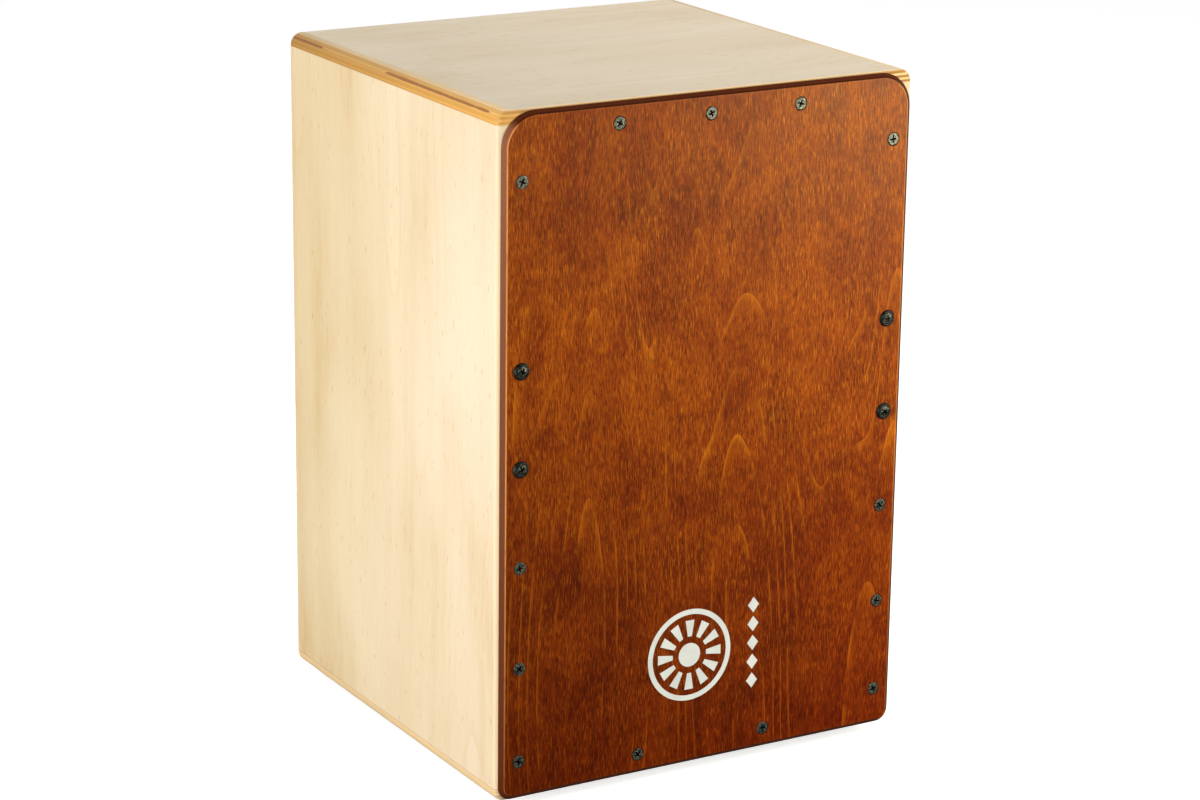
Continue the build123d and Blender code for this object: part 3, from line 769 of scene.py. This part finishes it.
def floor_paint():
    """The pale studio floor.  It glows enough to look near white, and lights the drum only a little."""
    material = bpy.data.materials.new("studio_floor")
    material.use_nodes = True
    nodes, links = material.node_tree.nodes, material.node_tree.links
    nodes.clear()
    output = nodes.new("ShaderNodeOutputMaterial")
    surface = nodes.new("ShaderNodeBsdfDiffuse")
    surface.inputs["Color"].default_value = FLOOR_WHITE
    glow = nodes.new("ShaderNodeEmission")
    glow.inputs["Strength"].default_value = FLOOR_GLOW
    dull = nodes.new("ShaderNodeBsdfDiffuse")
    dull.inputs["Color"].default_value = FLOOR_DULL
    both = nodes.new("ShaderNodeAddShader")
    path = nodes.new("ShaderNodeLightPath")
    choice = nodes.new("ShaderNodeMixShader")
    links.new(surface.outputs[0], both.inputs[0])
    links.new(glow.outputs[0], both.inputs[1])
    links.new(path.outputs["Is Camera Ray"], choice.inputs[0])
    links.new(dull.outputs[0], choice.inputs[1])
    links.new(both.outputs[0], choice.inputs[2])
    links.new(choice.outputs[0], output.inputs["Surface"])
    return material


# ======== Mesh tools ========

SAME_POINT = 1e-6        # metres, in the CAD's meshes
WELD = 1e-7
ARC_STEPS = 4


def solids(node):
    """The corner points of each separate solid in a CAD node."""
    copy = bmesh.new()
    copy.from_mesh(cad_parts[node].data)
    bmesh.ops.remove_doubles(copy, verts=copy.verts, dist=SAME_POINT)
    seen = set()
    found = []
    for first in copy.verts:
        if first in seen:
            continue
        seen.add(first)
        waiting = [first]
        points = []
        while waiting:
            vertex = waiting.pop()
            points.append(vertex.co.copy())
            for edge in vertex.link_edges:
                other = edge.other_vert(vertex)
                if other not in seen:
                    seen.add(other)
                    waiting.append(other)
        found.append(points)
    copy.free()
    return found


def extent(points):
    """Lowest and highest corner of some points."""
    low = Vector([min(point[axis] for point in points) for axis in range(3)])
    high = Vector([max(point[axis] for point in points) for axis in range(3)])
    return low, high


def outermost(points, out):
    """The middle of the solid's end that looks along out, which is along one of the axes."""
    low, high = extent(points)
    out = Vector(out)
    middle = (low + high) / 2
    reach = max(point.dot(out) for point in points)
    return middle + out * (reach - middle.dot(out))


def standing(origin, out, turn=0.0):
    """A placement whose own z looks along out, turned about it by an angle."""
    upright = Vector(out).to_track_quat("Z", "Y").to_matrix().to_4x4()
    return Matrix.Translation(origin) @ upright @ Matrix.Rotation(turn, 4, "Z")


def loft(mesh, rings, placement, close_ends=True):
    """Skin a stack of rings, each a list of points, and close its ends."""
    rows = [[mesh.verts.new(placement @ Vector(point)) for point in ring] for ring in rings]
    count = len(rows[0])
    for lower, upper in zip(rows, rows[1:]):
        for i in range(count):
            j = (i + 1) % count
            mesh.faces.new((lower[i], lower[j], upper[j], upper[i]))
    if close_ends:
        mesh.faces.new(reversed(rows[0]))
        mesh.faces.new(rows[-1])


def circle(radius, height, count):
    """A level ring of points, in millimetres given and metres returned."""
    steps = [2 * math.pi * i / count for i in range(count)]
    return [(radius * MM * math.cos(a), radius * MM * math.sin(a), height * MM) for a in steps]


def rounded(corner_in, corner, corner_out, radius):
    """Points of the arc that rounds one corner of an outline."""
    corner = Vector(corner)
    before = (Vector(corner_in) - corner).normalized()
    after = (Vector(corner_out) - corner).normalized()
    half = before.angle(after) / 2
    reach = radius / math.tan(half)
    middle = corner + (before + after).normalized() * (radius / math.sin(half))
    start = corner + before * reach - middle
    end = corner + after * reach - middle
    points = []
    sweep = math.atan2(start.x * end.y - start.y * end.x, start.dot(end))
    for i in range(ARC_STEPS + 1):
        angle = sweep * i / ARC_STEPS
        x = start.x * math.cos(angle) - start.y * math.sin(angle)
        y = start.x * math.sin(angle) + start.y * math.cos(angle)
        points.append((middle.x + x, middle.y + y))
    return points


def soft_outline(corners):
    """A closed outline from (x, y, radius) corners, rounded.  A radius of 0 keeps one sharp."""
    points = [corner[:2] for corner in corners]
    result = []
    for i, (x, y, radius) in enumerate(corners):
        if radius:
            result += rounded(points[i - 1], points[i], points[(i + 1) % len(points)], radius)
        else:
            result.append(points[i])
    return result


def turned(mesh, corners, placement, count):
    """Turn a closed outline about z, round an open bore."""
    rings = [circle(radius, height, count) for radius, height in soft_outline(corners)]
    loft(mesh, rings + rings[:1], placement, close_ends=False)


def as_piece(name, mesh, material, node, sharp_angle=40.0):
    """Make a mesh into a piece of the drum that stands for a CAD node."""
    bmesh.ops.remove_doubles(mesh, verts=mesh.verts, dist=WELD)
    bmesh.ops.recalc_face_normals(mesh, faces=mesh.faces)
    data = bpy.data.meshes.new(name)
    mesh.to_mesh(data)
    mesh.free()
    data.shade_smooth()
    data.set_sharp_from_angle(angle=math.radians(sharp_angle))
    data.materials.append(material)
    piece = bpy.data.objects.new(name, data)
    bpy.context.scene.collection.objects.link(piece)
    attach(piece, "root")
    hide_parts(node)


# ======== Screws ========

WING_SPAN = 2.35         # centre to tip of the cross recess, millimetres
WING_HALF_TOP = 0.6      # half the width of a wing at the face
WING_HALF_FLOOR = 0.26   # half the width at its floor
RECESS_CENTRE = 0.12     # radius of the flat at the bottom
RECESS_DEPTH = 1.5
RECESS_RISE = 0.55       # the floor has risen by this share of the depth at a wing's tip
THREAD_PITCH = 1.5
THREAD_CREST = 1.6
THREAD_ROOT = 1.2
THREAD_HALF_WIDTH = 0.22     # share of the pitch
RINGS_PER_TURN = 6
POINT_LENGTH = 3.0
BLUNT_TIP = 0.25         # length that the point lacks
SHANK_OVERLAP = 0.3      # the thread starts this far under the head
RING_STEPS = 32          # points round a shank, and round a recess
SCREW_TURN = math.radians(37.0)

# heads: outline from the crown's edge down to the shank, as (radius, height); how far the crown
# has fallen at some radius, as (fall, radius); and the radii of its rings outside the recess
COUNTERSUNK_HEAD = (
    ((4.02, -0.04), (4.1, -0.14), (4.1, -0.26), (3.95, -0.42), (1.6, -2.2)),
    (0.0, 4.02),
    (2.8, 3.4, 3.85),
)
OVAL_HEAD = (
    ((3.5, -0.42), (3.42, -0.56), (1.6, -2.1)),
    (0.4, 3.5),
    (2.7, 3.1, 3.4),
)
PAN_HEAD = (
    ((2.95, -0.28), (3.25, -0.55), (3.45, -1.0), (3.5, -1.5), (3.5, -2.1), (3.42, -2.2), (1.6, -2.2)),
    (0.12, 2.6),
    (2.4, 2.6),
)


def recess_ring(radius, crown):
    """One ring of a screw head, shaped so that the straight walls of the cross lie along its columns."""
    diagonal = math.pi / 4
    foot = math.asin(min(math.sin(diagonal), WING_HALF_FLOOR / radius))
    lip = math.asin(min(math.sin(diagonal), WING_HALF_TOP / radius))
    corner_radius = WING_HALF_TOP * math.sqrt(2)
    surface = crown(radius)
    floor = crown(0) - RECESS_DEPTH * (1 - RECESS_RISE * radius / WING_SPAN)
    if radius >= WING_SPAN:
        floor = surface
    outside = surface if radius > corner_radius - 1e-6 else floor
    octant = [(0, floor), (foot, floor), (lip, outside), ((lip + diagonal) / 2, outside)]
    ring = []
    for quarter in range(4):
        start = quarter * math.pi / 2
        columns = [(start + angle, z) for angle, z in octant]
        columns.append((start + diagonal, outside))
        columns += [(start + math.pi / 2 - angle, z) for angle, z in reversed(octant[1:])]
        ring += [(radius * MM * math.cos(a), radius * MM * math.sin(a), z * MM) for a, z in columns]
    return ring


def threaded(start, end):
    """Rings of a shank with a raised spiral thread and a point, from one height down to another."""
    rings = []
    steps = int((start - end) / THREAD_PITCH * RINGS_PER_TURN)
    for i in range(steps + 1):
        height = start - (start - end) * i / steps
        slim = min(1.0, (height - end + BLUNT_TIP) / POINT_LENGTH)
        ring = []
        for step in range(RING_STEPS):
            angle = 2 * math.pi * step / RING_STEPS
            phase = (angle / (2 * math.pi) + height / THREAD_PITCH) % 1.0
            ridge = max(0.0, 1 - abs(phase - 0.5) / THREAD_HALF_WIDTH)
            radius = (THREAD_ROOT + (THREAD_CREST - THREAD_ROOT) * ridge) * slim * MM
            ring.append((radius * math.cos(angle), radius * math.sin(angle), height * MM))
        rings.append(ring)
    return rings


def screw(mesh, placement, head, length):
    """A cross-head screw whose face is at height 0 of its placement."""
    outline, (fall, fall_radius), crown_radii = head

    def crown(radius):
        return -fall * (radius / fall_radius) ** 2

    inner = [RECESS_CENTRE, WING_HALF_FLOOR * math.sqrt(2), WING_HALF_TOP * math.sqrt(2)]
    wings = [WING_SPAN * share for share in (0.5, 0.75, 0.93, 1.0)]
    rings = [recess_ring(radius, crown) for radius in inner + wings]
    rings += [circle(radius, crown(radius), RING_STEPS) for radius in crown_radii]
    rings += [circle(radius, height, RING_STEPS) for radius, height in outline]
    rings += threaded(outline[-1][1] - SHANK_OVERLAP, -length)
    loft(mesh, rings, placement)


def screws(name, node, out, head, material):
    """All the screws of a CAD node, each at its own turn.  Out is where their heads look."""
    mesh = bmesh.new()
    for i, points in enumerate(solids(node)):
        low, high = extent(points)
        length = (high - low).dot(Vector([abs(value) for value in out])) / MM
        screw(mesh, standing(outermost(points, out), out, i * SCREW_TURN), head, length)
    as_piece(name, mesh, material, node)


# ======== Washers, feet and snares ========

CUP_STEPS, DISC_STEPS, FOOT_STEPS = 48, 40, 64     # points round each turned piece

# closed outlines of turned pieces: (radius, height, rounding of that corner), in millimetres
CUP_OUTLINE = (
    (2.1, 0.0, 0.0), (5.5, 0.0, 0.12), (5.5, 0.6, 0.4), (4.5, 1.5, 0.35),
    (3.75, 1.5, 0.1), (3.6, 1.3, 0.0), (2.1, 0.25, 0.0),
)
DISC_OUTLINE = ((2.1, 0.0, 0.1), (5.0, 0.0, 0.2), (5.0, 0.8, 0.2), (2.1, 0.8, 0.1))
FOOT_OUTLINE = (
    (2.1, 8.0, 0), (12.9, 8.0, 0.15), (12.72, 7.0, 0.3),
    # four ribs round the side
    (12.2, 6.7, 0.2), (12.45, 5.9, 0.3), (11.9, 5.5, 0.2), (12.2, 4.6, 0.3),
    (11.65, 4.2, 0.2), (11.95, 3.3, 0.3), (11.4, 2.9, 0.2), (11.6, 1.9, 0.3),
    # the lower rim, a groove under it, and the pocket
    (11.2, 0.7, 0.6), (10.4, 0.0, 0.5), (9.0, 0.0, 0.2), (8.6, 0.5, 0.15), (8.0, 0.5, 0.15),
    (7.6, 0.0, 0.2), (6.2, 0.0, 0.2), (5.6, 0.6, 0.3), (5.6, 4.0, 0.2), (2.1, 4.0, 0),
)


def cup_washers(material):
    """Pressed cups with a rolled rim under the oval-headed screws."""
    mesh = bmesh.new()
    for points in solids("cup_washers"):
        turned(mesh, CUP_OUTLINE, standing(outermost(points, BACKWARD), FRONTWARD), CUP_STEPS)
    as_piece("cup_washer_cups", mesh, material, "cup_washers")


def foot_washers(material):
    """Flat washers with softened rims, inside the feet."""
    mesh = bmesh.new()
    for points in solids("foot_washers"):
        turned(mesh, DISC_OUTLINE, standing(outermost(points, DOWNWARD), UPWARD), DISC_STEPS)
    as_piece("foot_washer_discs", mesh, material, "foot_washers")


def rubber_foot(node, material):
    """A moulded foot: ribbed side, soft lower rim, and a pocket for its screw."""
    low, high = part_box(node)
    centre = Vector(((low.x + high.x) / 2, (low.y + high.y) / 2, 0))
    mesh = bmesh.new()
    turned(mesh, FOOT_OUTLINE, Matrix.Translation(centre), FOOT_STEPS)
    as_piece(node + "_rubber", mesh, material, node, sharp_angle=55.0)


COIL_PITCH = 1.45        # millimetres
WIRE_RADIUS = 0.2
COIL_STEPS = 10          # points in each turn
WIRE_SIDES = 5
STRAIGHT_END = 5.0       # uncoiled end that is soldered to the bracket
STRAIGHT_STEPS = 3
FIRST_SWELL = 0.35       # share of its full radius at which the coil starts
WIRE_TURN = 0.9          # each coil starts this much further round, in radians


def tube(mesh, points, radius, sides):
    """A round wire along a line of points."""
    rings = []
    reference = (points[1] - points[0]).orthogonal().normalized()
    for i, point in enumerate(points):
        ahead = points[min(i + 1, len(points) - 1)]
        behind = points[max(i - 1, 0)]
        direction = (ahead - behind).normalized()
        reference = (reference - direction * reference.dot(direction)).normalized()
        side = direction.cross(reference)
        ring = []
        for step in range(sides):
            angle = 2 * math.pi * step / sides
            ring.append(point + (reference * math.cos(angle) + side * math.sin(angle)) * radius)
        rings.append(ring)
    loft(mesh, rings, Matrix.Identity(4))


def coiled_wire(mesh, points, first_turn):
    """One wire in the space of a rod of the CAD: straight along the bracket's lip, then coiled."""
    by_height = sorted(points, key=lambda point: point.z)
    half = len(by_height) // 2
    start = sum(by_height[:half], Vector()) / half
    end = sum(by_height[-half:], Vector()) / half
    length = (end - start).length
    along = (end - start).normalized()
    sideways = Vector((1, 0, 0))
    outward = along.cross(sideways)
    on_lip = -outward if outward.y < 0 else outward
    low, high = extent(points)
    coil_radius = (high.x - low.x) / 2 - WIRE_RADIUS * MM
    route = []
    for step in range(STRAIGHT_STEPS):
        reach = STRAIGHT_END * MM * step / STRAIGHT_STEPS
        route.append(start + along * reach + on_lip * coil_radius)
    turns = (length / MM - STRAIGHT_END) / COIL_PITCH
    for step in range(int(turns * COIL_STEPS) + 1):
        angle = 2 * math.pi * step / COIL_STEPS + first_turn
        swell = min(1.0, FIRST_SWELL + step / COIL_STEPS)
        ahead = STRAIGHT_END * MM + step / COIL_STEPS * COIL_PITCH * MM
        turn = sideways * math.cos(angle) + outward * math.sin(angle)
        route.append(start + along * min(ahead, length) + turn * coil_radius * swell)
    tube(mesh, route, WIRE_RADIUS * MM, WIRE_SIDES)


def snare_wires(side, material):
    """Ten coiled wires, straight where they are soldered to the bracket's lip."""
    node = "snare_wires_" + side
    mesh = bmesh.new()
    for number, points in enumerate(solids(node)):
        coiled_wire(mesh, points, number * WIRE_TURN)
    as_piece("coiled_" + node, mesh, material, node, sharp_angle=70.0)


# ======== The drum ========

def paint(node, material):
    """Give a CAD node its finish."""
    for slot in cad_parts[node].material_slots:
        slot.material = material


def finish_panels():
    """Plywood of the box and of the playing face."""
    seat = Board("top_panel", "z", "x", 1.0)
    gaps = [(seat.low.y + start, seat.low.y + end) for start, end in MISSING_PLY]
    paint("top_panel", birch_plywood("birch_top", seat, HONEY_EDGE, gaps))
    paint("bottom_panel", birch_plywood("birch_bottom", Board("bottom_panel", "z", "x", 2.0)))
    for side, seed in (("left", 3.0), ("right", 4.0)):
        node = side + "_side_panel"
        board = Board(node, "x", "z", seed)
        paint(node, birch_plywood(f"birch_{side}_side", board, CREAM_EDGE, seams=True))
    paint("rear_panel", birch_plywood("birch_rear", Board("rear_panel", "y", "z", 5.0)))
    paint("front_plate", stained_plywood("stained_front", "front_plate"))
    paint("emblem", white_paint())


def finish_battens():
    """Pine strips and the crossbar."""
    upright = pine("pine_upright", "z", 0.3)
    level = pine("pine_level", "x", 1.9)
    for end in ("front", "rear"):
        for side in ("left", "right"):
            paint(f"{end}_batten_{side}", upright)
        for side in ("top", "bottom"):
            paint(f"{end}_batten_{side}", level)
    paint("snare_crossbar", pine("pine_crossbar", "x", 4.4))


def black_hardware():
    """Screws of the front plate, and the cup washers with their screws."""
    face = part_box("front_plate_screws")[0].y
    plain = black_steel("black_oxide_steel", face, DULL_BLACK, DULL_GREY, 0.4)
    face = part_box("cup_washer_screws")[0].y + OVAL_HEAD[1][0] * MM
    oval = black_steel("black_oxide_ovals", face, OILED_BLACK, OILED_GREY, 0.5)
    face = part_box("cup_washers")[1].y
    cup = black_steel("black_oxide_cups", face, CUP_BLACK, CUP_GREY, 0.1)
    screws("countersunk_screws", "front_plate_screws", FRONTWARD, COUNTERSUNK_HEAD, plain)
    screws("oval_head_screws", "cup_washer_screws", FRONTWARD, OVAL_HEAD, oval)
    cup_washers(cup)


def bright_hardware():
    """Screws of the crossbar, the brackets and the feet, with the brackets, washers and snares."""
    zinc = plated_steel("zinc_plated_steel", ZINC, 0.28)
    snare = plated_steel("snare_steel", SPRING_STEEL, 0.2)
    screws("crossbar_pan_screws", "crossbar_screws", BACKWARD, PAN_HEAD, zinc)
    screws("bracket_pan_screws", "snare_bracket_screws", FRONTWARD, PAN_HEAD, zinc)
    screws("foot_pan_screws", "foot_screws", DOWNWARD, PAN_HEAD, zinc)
    foot_washers(zinc)
    for side in ("left", "right"):
        paint("snare_bracket_" + side, zinc)
        snare_wires(side, snare)


def make_feet():
    """Four rubber feet."""
    rubber = foot_rubber()
    for place in ("front_left", "front_right", "rear_left", "rear_right"):
        rubber_foot("foot_" + place, rubber)


def make_floor():
    """A wide pale floor under the drum."""
    mesh = bmesh.new()
    corners = []
    for x, y in ((-1, -1), (1, -1), (1, 1), (-1, 1)):
        corners.append(mesh.verts.new((x * FLOOR_REACH, y * FLOOR_REACH, 0.0)))
    mesh.faces.new(corners)
    data = bpy.data.meshes.new("studio_floor")
    mesh.to_mesh(data)
    mesh.free()
    data.materials.append(floor_paint())
    floor = bpy.data.objects.new("studio_floor", data)
    bpy.context.scene.collection.objects.link(floor)


make_camera()
make_world()
make_lights()
make_floor()
finish_panels()
finish_battens()
black_hardware()
bright_hardware()
make_feet()
bpy.context.scene.view_settings.view_transform = "Standard"
